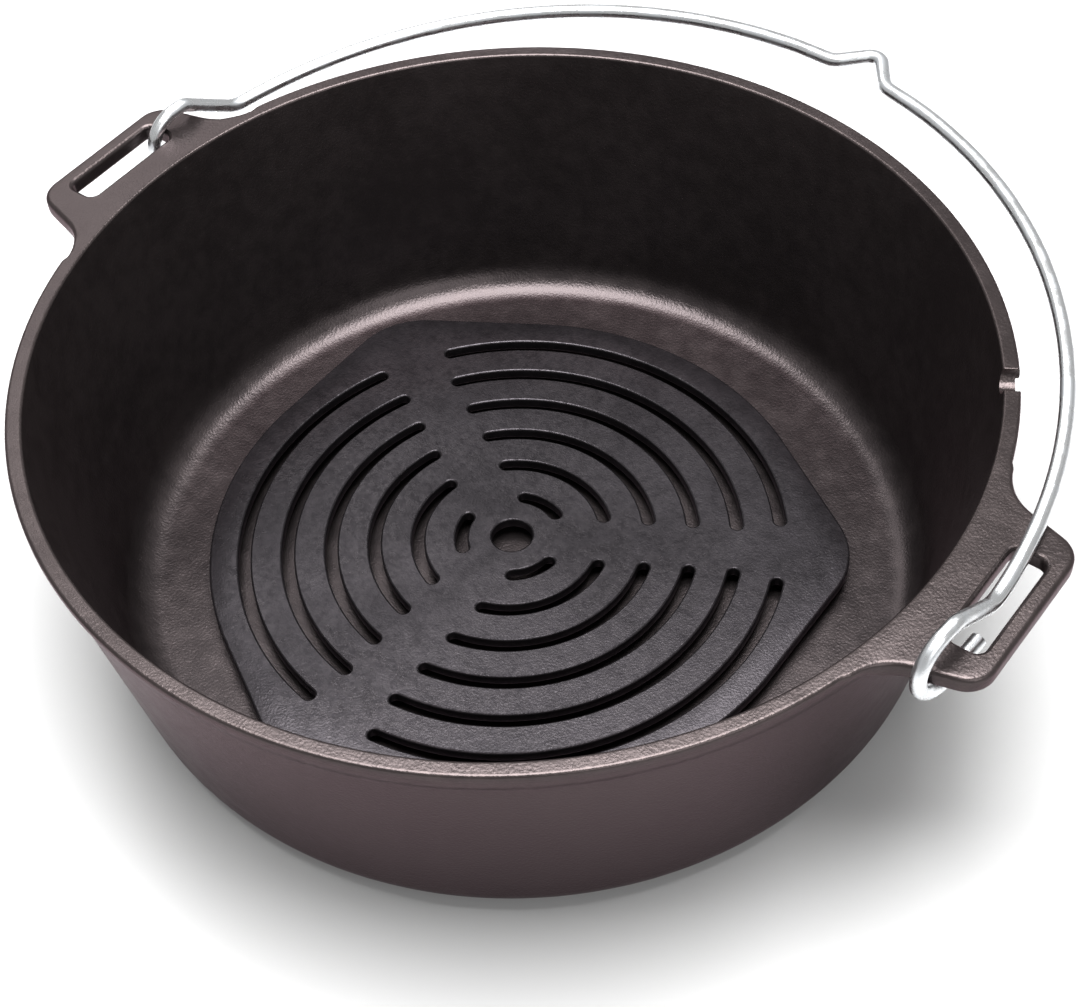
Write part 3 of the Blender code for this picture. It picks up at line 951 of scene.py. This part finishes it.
@dataclass
class SlitTree:
    """Geometry tree that bends one slit form round every row and cuts the grate with them."""

    name: str = "grate_slits"

    def __post_init__(self) -> None:
        """Build the tree."""
        self.tree = bpy.data.node_groups.new(self.name, "GeometryNodeTree")
        self.bench = NodeBench(self.tree)
        self.given = self.bench.add("NodeGroupInput")
        self.keys: dict[str, str] = {}
        self._build()

    def _takes(self, name: str, kind: str) -> bpy.types.NodeSocket:
        """Add a named input and return the socket that reads it."""
        self.keys[name] = self.tree.interface.new_socket(name, in_out="INPUT", socket_type=kind).identifier
        return self.given.outputs[name]

    def _build(self) -> None:
        """Lay out the rows, bend the form, cut the plate and set its material."""
        bench = self.bench
        blank = self._takes("Geometry", "NodeSocketGeometry")
        form = self._takes("Slit Form", "NodeSocketObject")
        hole = self._takes("Hole Form", "NodeSocketObject")
        rows = self._takes("Rows", "NodeSocketInt")
        first = self._takes("First Radius", "NodeSocketFloat")
        pitch = self._takes("Pitch", "NodeSocketFloat")
        width = self._takes("Slit Width", "NodeSocketFloat")
        bar = self._takes("Spoke Half Width", "NodeSocketFloat")
        last_bar = self._takes("Last Row Spoke Half Width", "NodeSocketFloat")
        start = self._takes("First Spoke Angle", "NodeSocketFloat")
        finish = self._takes("Material", "NodeSocketMaterial")
        spokes = 3
        number = bench.add("GeometryNodeInputIndex").outputs[0]
        row = bench.maths("FLOOR", bench.maths("DIVIDE", number, float(spokes)))
        sector = bench.maths("MODULO", number, float(spokes))
        radius = bench.maths("MULTIPLY_ADD", row, pitch, first)
        last = bench.maths("GREATER_THAN", row, bench.maths("SUBTRACT", rows, 1.5))
        spoke = bench.mix_value(last, bar, last_bar)
        reach = bench.maths("DIVIDE", bench.maths("MULTIPLY_ADD", width, 0.5, spoke), radius)
        half = bench.maths("SUBTRACT", math.pi / spokes, bench.maths("ARCSINE", reach))
        offset = bench.maths("ADD", start, math.pi / spokes)
        middle = bench.maths("MULTIPLY_ADD", sector, math.tau / spokes, offset)
        points = bench.add("GeometryNodePoints",
                           {"Count": bench.maths("MULTIPLY", rows, float(spokes))}).outputs[0]
        for key, value in (("row_radius", radius), ("half_angle", half), ("middle_angle", middle)):
            points = bench.add("GeometryNodeStoreNamedAttribute",
                               {"Geometry": points, "Name": key, "Value": value},
                               data_type="FLOAT", domain="POINT").outputs[0]
        shape = bench.add("GeometryNodeObjectInfo", {"Object": form}).outputs["Geometry"]
        placed = bench.add("GeometryNodeInstanceOnPoints", {"Points": points, "Instance": shape}).outputs[0]
        straight = bench.add("GeometryNodeRealizeInstances", {0: placed}).outputs[0]
        read = {key: self._attribute(key) for key in ("row_radius", "half_angle", "middle_angle", "stretch")}
        place = bench.add("ShaderNodeSeparateXYZ", {0: bench.add("GeometryNodeInputPosition").outputs[0]})
        along = bench.maths("MULTIPLY_ADD", read["stretch"], read["half_angle"],
                            bench.maths("DIVIDE", place.outputs[0], read["row_radius"]))
        turn = bench.maths("SUBTRACT", read["middle_angle"], along)
        away = bench.maths("ADD", read["row_radius"], place.outputs[1])
        bent = bench.add("ShaderNodeCombineXYZ", {
            0: bench.maths("MULTIPLY", away, bench.maths("COSINE", turn)),
            1: bench.maths("MULTIPLY", away, bench.maths("SINE", turn)), 2: place.outputs[2]})
        slits = bench.add("GeometryNodeSetPosition",
                          {"Geometry": straight, "Position": bent.outputs[0]}).outputs[0]
        middle_hole = bench.add("GeometryNodeObjectInfo", {"Object": hole}).outputs["Geometry"]
        cut = bench.add("GeometryNodeMeshBoolean", operation="DIFFERENCE", solver="EXACT")
        bench.feed(cut.inputs[0], blank)
        bench.tree.links.new(slits, cut.inputs[1])
        bench.tree.links.new(middle_hole, cut.inputs[1])
        real = bench.add("GeometryNodeRealizeInstances", {0: cut.outputs[0]}).outputs[0]
        dressed = bench.add("GeometryNodeSetMaterial", {"Geometry": real, "Material": finish}).outputs[0]
        self.tree.interface.new_socket("Geometry", in_out="OUTPUT", socket_type="NodeSocketGeometry")
        out = bench.add("NodeGroupOutput")
        bench.tree.links.new(dressed, out.inputs[0])

    def _attribute(self, name: str) -> bpy.types.NodeSocket:
        """Read a named number of each point."""
        return self.bench.add("GeometryNodeInputNamedAttribute", {"Name": name}, data_type="FLOAT").outputs[0]

    def run(self, piece: bpy.types.Object, values: dict[str, object]) -> None:
        """Cut a blank plate, and leave it as a plain mesh.

        Args:
            piece: The blank.
            values: Input name to value.
        """
        modifier = piece.modifiers.new(self.name, "NODES")
        modifier.node_group = self.tree
        for key, value in values.items():
            modifier[self.keys[key]] = value
        bake_down(piece)


@dataclass
class GrateCasting:
    """The loose grate: a lobed plate on three short feet, with rows of curved slits."""

    shift: tuple[float, float] = (-3.0 * MM, -2.5 * MM)
    floor: float = 6.3 * MM
    foot_height: float = 3.8 * MM
    thick: float = 4.2 * MM
    lobe_tip: float = 116.015 * MM
    lobe_round: float = 28.0 * MM
    lobe_spread: float = math.radians(29.0)
    first_spoke: float = math.radians(30.0)
    edge_round: float = 0.9 * MM
    foot_radius: float = 8.0 * MM
    foot_taper: float = 1.2 * MM
    foot_from_tip: float = 13.0 * MM
    hole_radius: float = 7.1 * MM
    rows: int = 6
    first_row: float = 17.6 * MM
    border: float = 12.1 * MM
    slit_width: float = 4.2 * MM
    slit_edge_round: float = 0.75 * MM
    spoke_half: float = 8.6 * MM
    last_spoke_half: float = 11.7 * MM

    def __post_init__(self) -> None:
        """Work out the sizes that follow from the others."""
        self.lobe_centre = self.lobe_tip - self.lobe_round
        self.radius = self.lobe_round + self.lobe_centre * math.cos(self.lobe_spread)
        self.pitch = (self.radius - self.border - self.first_row) / (self.rows - 1)
        self.bottom = self.floor + self.foot_height
        self.top = self.bottom + self.thick

    def outline(self, inset: float, height: float) -> list[Vector]:
        """Plan of the plate, pulled in by a distance, at a height."""
        third = math.tau / 3
        path = []
        for index in range(3):
            spoke = self.first_spoke + third * index
            centre = Vector((math.cos(spoke), math.sin(spoke))) * self.lobe_centre
            path += arc(centre, self.lobe_round - inset, spoke - self.lobe_spread,
                        spoke + self.lobe_spread, 20)
            path += arc(Vector((0.0, 0.0)), self.radius - inset, spoke + self.lobe_spread,
                        spoke + third - self.lobe_spread, 40)[1:-1]
        return [Vector((point.x, point.y, height)) for point in path]

    def edge_levels(self) -> list[tuple[float, float]]:
        """Inset and height of the plate's rings, whose edges are rounded, from the bottom up."""
        rise = self.edge_round
        turns = [math.pi / 2 * step / 4 for step in range(5)]
        lower = [(rise * (1 - math.sin(turn)), self.bottom + rise * (1 - math.cos(turn))) for turn in turns]
        return lower + [(inset, self.top + self.bottom - height) for inset, height in reversed(lower)]

    def blank(self) -> bpy.types.Object:
        """The plate on its feet, before the slits are cut."""
        rings = [self.outline(inset, height) for inset, height in self.edge_levels()]
        plate = add_mesh("grate_casting", loft("grate_casting", rings))
        away = self.lobe_tip - self.foot_from_tip
        small = self.foot_radius - self.foot_taper
        profile = [(0.0, 0.0), (small - 1.0 * MM, 0.0), (small - 0.3 * MM, 0.3 * MM), (small, 1.0 * MM),
                   (self.foot_radius, self.foot_height),
                   (self.foot_radius + 0.4 * MM, self.foot_height + 0.4 * MM),
                   (self.foot_radius, self.foot_height + 1.6 * MM), (0.0, self.foot_height + 1.6 * MM)]
        for index in range(3):
            spoke = self.first_spoke + math.tau / 3 * index
            foot = add_mesh("grate_foot", turned("grate_foot", profile, 40))
            foot.location = (away * math.cos(spoke), away * math.sin(spoke), self.floor)
            combine(plate, foot, Cut.JOIN)
        return plate

    def cutter_levels(self) -> list[tuple[float, float]]:
        """Extra half width and height of a cutting form's rings, flared where it meets both faces."""
        rise = self.slit_edge_round
        turns = np.radians([80.0, 60.0, 40.0, 20.0, 0.0])
        lower = [(rise + 0.5 * MM, self.bottom - 0.6 * MM)]
        lower += [(rise * (1 - math.cos(turn)), self.bottom + rise * (1 - math.sin(turn))) for turn in turns]
        return lower + [(wide, self.top + self.bottom - height) for wide, height in reversed(lower)]

    def slit_form(self) -> bpy.types.Object:
        """Straight form of a slit: its points hold their share along the slit, to be bent round a row."""
        runs, ends = 44, 8
        rings, shares = [], []
        for wide, height in self.cutter_levels():
            half = self.slit_width / 2 + wide
            ring = [(0.0, half, 1 - 2 * step / runs) for step in range(runs + 1)]
            ring += [(-half * math.sin(math.pi * step / ends), half * math.cos(math.pi * step / ends), -1.0)
                     for step in range(1, ends)]
            ring += [(0.0, -half, 2 * step / runs - 1) for step in range(runs + 1)]
            ring += [(half * math.sin(math.pi * step / ends), -half * math.cos(math.pi * step / ends), 1.0)
                     for step in range(1, ends)]
            rings.append([Vector((x, y, height)) for x, y, _ in ring])
            shares = [share for _, _, share in ring]
        spread = [[point + Vector((share, 0.0, 0.0)) for point, share in zip(ring, shares)] for ring in rings]
        mesh = loft("slit_form", spread)
        store = mesh.attributes.new("stretch", "FLOAT", "POINT")
        for vert in mesh.vertices:
            share = min(max(round(vert.co.x * runs / 2) * 2 / runs, -1.0), 1.0)
            store.data[vert.index].value = share
            vert.co.x -= share
        return add_mesh("slit_form", mesh)

    def hole_form(self) -> bpy.types.Object:
        """Round form that cuts the hole in the middle."""
        profile = [(0.0, self.bottom - 0.6 * MM)]
        profile += [(self.hole_radius + wide, height) for wide, height in self.cutter_levels()]
        profile.append((0.0, self.top + 0.6 * MM))
        return add_mesh("hole_form", turned("hole_form", profile, 64))

    def build(self, tree: SlitTree, material: bpy.types.Material) -> bpy.types.Object:
        """Make the finished grate.

        Args:
            tree: The tree that cuts the slits.
            material: Its finish.

        Returns:
            The piece.
        """
        grate = self.blank()
        slit, hole = self.slit_form(), self.hole_form()
        tree.run(grate, {
            "Slit Form": slit, "Hole Form": hole, "Rows": self.rows, "First Radius": self.first_row,
            "Pitch": self.pitch, "Slit Width": self.slit_width, "Spoke Half Width": self.spoke_half,
            "Last Row Spoke Half Width": self.last_spoke_half, "First Spoke Angle": self.first_spoke,
            "Material": material})
        for form in (slit, hole):
            bpy.data.objects.remove(form)
        grate.data.transform(Matrix.Translation((*self.shift, 0.0)))
        mark_edges(grate.data, "edge", math.radians(24.0), 0)
        finish_piece(grate, material, 32.0)
        return grate


# ---------------------------------------------------------------- the bail


@dataclass
class WireTree:
    """Geometry tree that draws a round wire along a path and notes where each point lies on it."""

    name: str = "wire_along_path"
    around_scale: float = 1200.0

    def __post_init__(self) -> None:
        """Build the tree."""
        self.tree = bpy.data.node_groups.new(self.name, "GeometryNodeTree")
        self.keys: dict[str, str] = {}
        bench = NodeBench(self.tree)
        given = bench.add("NodeGroupInput")
        kinds = {"Geometry": "NodeSocketGeometry", "Wire Radius": "NodeSocketFloat", "Sides": "NodeSocketInt",
                 "Material": "NodeSocketMaterial"}
        for key, kind in kinds.items():
            self.keys[key] = self.tree.interface.new_socket(key, in_out="INPUT", socket_type=kind).identifier
        path = bench.add("GeometryNodeMeshToCurve", {0: given.outputs["Geometry"]}).outputs[0]
        length = bench.add("GeometryNodeSplineParameter").outputs["Length"]
        path = bench.add("GeometryNodeStoreNamedAttribute",
                         {"Geometry": path, "Name": "along", "Value": length},
                         data_type="FLOAT", domain="POINT").outputs[0]
        ring = bench.add("GeometryNodeCurvePrimitiveCircle", {
            "Resolution": given.outputs["Sides"], "Radius": given.outputs["Wire Radius"]},
            mode="RADIUS").outputs[0]
        spot = bench.add("GeometryNodeInputPosition").outputs[0]
        scaled = bench.add("ShaderNodeVectorMath", {0: spot, "Scale": self.around_scale},
                           operation="SCALE").outputs[0]
        ring = bench.add("GeometryNodeStoreNamedAttribute",
                         {"Geometry": ring, "Name": "around", "Value": scaled},
                         data_type="FLOAT_VECTOR", domain="POINT").outputs[0]
        wire = bench.add("GeometryNodeCurveToMesh", {"Curve": path, "Profile Curve": ring, "Fill Caps": True})
        real = bench.add("GeometryNodeRealizeInstances", {0: wire.outputs[0]}).outputs[0]
        dressed = bench.add("GeometryNodeSetMaterial",
                            {"Geometry": real, "Material": given.outputs["Material"]}).outputs[0]
        self.tree.interface.new_socket("Geometry", in_out="OUTPUT", socket_type="NodeSocketGeometry")
        bench.tree.links.new(dressed, bench.add("NodeGroupOutput").inputs[0])

    def run(self, piece: bpy.types.Object, radius: float, sides: int, material: bpy.types.Material) -> None:
        """Draw the wire along a piece's chain of edges, and leave it as a plain mesh.

        Args:
            piece: The chain of edges.
            radius: The wire's radius.
            sides: Faces round the wire.
            material: Its finish.
        """
        modifier = piece.modifiers.new(self.name, "NODES")
        modifier.node_group = self.tree
        for key, value in {"Wire Radius": radius, "Sides": sides, "Material": material}.items():
            modifier[self.keys[key]] = value
        bake_down(piece)


@dataclass
class WireBail:
    """The bail: one wire bent into a wide arch, with a kink in the middle and a hook at each end."""

    wire_radius: float = 2.42 * MM
    nominal_radius: float = 2.5 * MM
    hook_play: float = 0.6 * MM
    hook_inset: float = 3.3 * MM
    hook_tail: float = 16.5 * MM
    hook_shoulder: float = 3.0 * MM
    axis_rise: float = 3.2 * MM
    arch_drop: float = 2.2 * MM
    arch_extra: float = 0.4 * MM
    step_length: float = 18.5 * MM
    step_round: float = 11.0 * MM
    rest_tilt: float = math.radians(6.45)
    kink_half: float = 11.4 * MM
    kink_height: float = 10.0 * MM
    kink_foot_round: float = 7.0 * MM
    kink_tip_round: float = 4.5 * MM
    arch_steps: int = 220
    sides: int = 28
    bend_step: float = math.radians(6.0)

    def fit(self, pot: PotCasting) -> None:
        """Take the sizes that follow from the pot's lugs.

        Args:
            pot: The pot that the hooks turn on.
        """
        pivot_x = pot.lug_reach - pot.slot_bar - pot.slot_width + self.hook_inset
        side = pot.lug_tip_half + (pot.lug_reach - pivot_x) * math.tan(pot.lug_flare)
        pivot_y = (pot.slot_half + side) / 2
        middle_height = pot.height - pot.lug_drop - pot.lug_thick / 2
        across = (side - pot.slot_half) / 2 - pot.lug_edge_round
        upright = pot.lug_thick / 2 + self.axis_rise - pot.lug_edge_round
        reach = math.hypot(across, upright) + pot.lug_edge_round
        self.hook_radius = reach + self.hook_play + self.nominal_radius
        self.arch_rise = pivot_x + self.arch_extra
        self.low = Vector((pot.lug_shift - pivot_x, pivot_y, middle_height - self.axis_rise))
        self.high = Vector((pot.lug_shift + pivot_x, -pivot_y, middle_height + self.axis_rise))

    def hook(self) -> list[Vector]:
        """One end in its own (forward, up) plane, from the free end to the arch."""
        up = self.hook_radius
        path = [Vector((self.hook_tail, -up)), Vector((self.hook_tail - 0.5 * MM, -up))]
        path += arc(Vector((0.0, 0.0)), up, -math.pi / 2, -3 * math.pi / 2, 40)
        first = self.hook_shoulder + self.step_round * math.tan(math.radians(10.0))
        last = first + self.step_length
        path += rounded([(Vector((0.0, up)), 0.0), (Vector((first, up)), self.step_round / 2),
                         (Vector((last, -self.arch_drop)), self.step_round),
                         (Vector((last + 2 * self.step_round, -self.arch_drop)), 0.0)], self.bend_step)[1:-1]
        return path

    def middle_line(self) -> list[Vector]:
        """The whole wire's middle line: along the hinge line, forward, and up from its plane."""
        half = (self.high - self.low).length / 2
        hook = self.hook()
        right = [Vector((half * math.sqrt(1 - (max(forward, 0.0) / self.arch_rise) ** 2), forward, up))
                 for forward, up in hook]
        start = math.asin(hook[-1].x / self.arch_rise)
        straight = 2.2 * self.kink_half
        end = math.acos(straight / half)
        for step in range(1, self.arch_steps // 2 + 1):
            angle = start + (end - start) * step / (self.arch_steps // 2)
            right.append(Vector((half * math.cos(angle), self.arch_rise * math.sin(angle), -self.arch_drop)))
        foot = self.arch_rise * math.sqrt(1 - (self.kink_half / half) ** 2)
        tip = self.arch_rise + self.kink_height + self.kink_tip_round / 3
        kink = rounded([(Vector((straight, right[-1].y)), 0.0),
                        (Vector((self.kink_half, foot)), self.kink_foot_round),
                        (Vector((0.0, tip)), self.kink_tip_round),
                        (Vector((-self.kink_half, foot)), self.kink_foot_round),
                        (Vector((-straight, right[-1].y)), 0.0)], self.bend_step)[1:-1]
        middle = [Vector((point.x, point.y, -self.arch_drop)) for point in kink]
        left = [Vector((-point.x, point.y, point.z)) for point in reversed(right)]
        return right + middle + left

    def lie(self) -> Matrix:
        """Place of the bail's own plane in the frame, lying down on its lug."""
        across = (self.high - self.low).normalized()
        level = Vector((0, 0, 1)).cross(across).normalized()
        upright = across.cross(level)
        forward = level * math.cos(self.rest_tilt) + upright * math.sin(self.rest_tilt)
        turn = Matrix((across, forward, across.cross(forward))).transposed().to_4x4()
        return Matrix.Translation((self.low + self.high) / 2) @ turn

    def build(self, tree: WireTree, material: bpy.types.Material) -> bpy.types.Object:
        """Make the finished bail.

        Args:
            tree: The tree that draws the wire.
            material: Its finish.

        Returns:
            The piece.
        """
        place = self.lie()
        points = [place @ point for point in self.middle_line()]
        mesh = bpy.data.meshes.new("wire_bail")
        mesh.from_pydata(points, [(index, index + 1) for index in range(len(points) - 1)], [])
        bail = add_mesh("wire_bail", mesh)
        tree.run(bail, self.wire_radius, self.sides, material)
        finish_piece(bail, material, 40.0)
        return bail


# ---------------------------------------------------------------- the studio


@dataclass(frozen=True)
class Softbox:
    """One large soft light."""

    name: str
    place: tuple[float, float, float]
    target: tuple[float, float, float]
    width: float
    height: float
    power: float

    def hang(self) -> None:
        """Put the light in the scene."""
        lamp = bpy.data.lights.new(self.name, "AREA")
        lamp.shape = "RECTANGLE"
        lamp.size, lamp.size_y = self.width, self.height
        lamp.energy = self.power
        made = bpy.data.objects.new(self.name, lamp)
        bpy.context.scene.collection.objects.link(made)
        made.location = self.place
        aim = Vector(self.target) - Vector(self.place)
        made.rotation_euler = aim.to_track_quat("-Z", "Y").to_euler()


SOFTBOXES = (
    Softbox("key_softbox", (-0.02, 0.03, 1.30), (0.0, 0.0, 0.05), 0.9, 0.9, 50.0),
    Softbox("left_softbox", (-1.25, 0.70, 1.15), (0.0, 0.0, 0.05), 0.7, 0.7, 4.2),
    Softbox("right_softbox", (1.25, -0.55, 0.95), (0.0, 0.0, 0.05), 0.9, 0.9, 7.0),
)


@dataclass
class Studio:
    """Table, soft light and the camera."""

    eye: tuple[float, float, float] = (0.29799, -0.35123, 0.56054)
    target: tuple[float, float, float] = (0.0451, -0.0445, 0.1025)
    roll: float = math.radians(-3.816)
    lens: float = 68.77
    table_half: float = 4.0
    sky: float = 0.5

    def lay_table(self, material: bpy.types.Material) -> None:
        """Lay the table top.

        Args:
            material: Its finish.
        """
        shape = bmesh.new()
        bmesh.ops.create_grid(shape, x_segments=1, y_segments=1, size=self.table_half)
        mesh = bpy.data.meshes.new("table_top")
        shape.to_mesh(mesh)
        shape.free()
        table = add_mesh("table_top", mesh)
        mesh.materials.append(material)

    def light(self) -> None:
        """Hang the softboxes, set the pale surroundings, and pick the view transform that keeps white white."""
        for lamp in SOFTBOXES:
            lamp.hang()
        world = bpy.data.worlds.new("pale_room")
        world.use_nodes = True
        back = world.node_tree.nodes["Background"]
        back.inputs["Color"].default_value = (1.0, 1.0, 1.0, 1.0)
        back.inputs["Strength"].default_value = self.sky
        bpy.context.scene.world = world
        bpy.context.scene.view_settings.view_transform = "Standard"

    def set_camera(self) -> None:
        """Aim the camera, with its small roll."""
        data = bpy.data.cameras.new("camera")
        data.lens = self.lens
        data.sensor_width = 36.0
        data.clip_start, data.clip_end = 0.01, 50.0
        camera = bpy.data.objects.new("camera", data)
        bpy.context.scene.collection.objects.link(camera)
        aim = (Vector(self.target) - Vector(self.eye)).normalized()
        right = aim.cross(Vector((0, 0, 1))).normalized()
        up = right.cross(aim)
        across = right * math.cos(self.roll) + up * math.sin(self.roll)
        over = across.cross(aim)
        turn = Matrix((across, over, -aim)).transposed().to_4x4()
        camera.matrix_world = Matrix.Translation(self.eye) @ turn
        bpy.context.scene.camera = camera


# ---------------------------------------------------------------- all together


SEASONED = CastIronFinish(
    name="seasoned_iron", deep=(0.037, 0.0315, 0.0322), thin=(0.051, 0.043, 0.0435),
    rubbed=(0.10, 0.08, 0.076), dull=0.36, sleek=0.28, grain_pitch=1250.0, grain_depth=0.09 * MM,
    edge_amount=0.28, ground_from=101.3 * MM)
GRATE_IRON = CastIronFinish(
    name="grate_iron", deep=(0.024, 0.022, 0.0243), thin=(0.033, 0.03, 0.0333),
    rubbed=(0.08, 0.073, 0.078), dull=0.35, sleek=0.28, grain_pitch=1400.0, grain_depth=0.07 * MM,
    edge_amount=0.4, specular=0.38, tint=(0.66, 0.61, 0.66))


def main() -> None:
    """Build every piece, dress it, and set up the studio."""
    logging.basicConfig(level=logging.INFO, format="%(name)s: %(message)s")
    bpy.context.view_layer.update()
    effects = IronEffects()
    pot = PotCasting()
    bail = WireBail()
    bail.fit(pot)
    pieces = {
        "pot": (pot.build(SEASONED.make(effects)), "seasoned_iron"),
        "grate": (GrateCasting().build(SlitTree(), GRATE_IRON.make(effects)), "grate_iron"),
        "bail": (bail.build(WireTree(), PlatedWireFinish().make()), "plated_wire"),
    }
    for node, (piece, slot) in pieces.items():
        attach(piece, node)
        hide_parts(node)
        LOG.info("%s stands for %s, with %d faces", piece.name, node, len(piece.data.polygons))
    studio = Studio()
    studio.lay_table(TableFinish().make())
    studio.light()
    studio.set_camera()


if __name__ == "__main__":
    main()
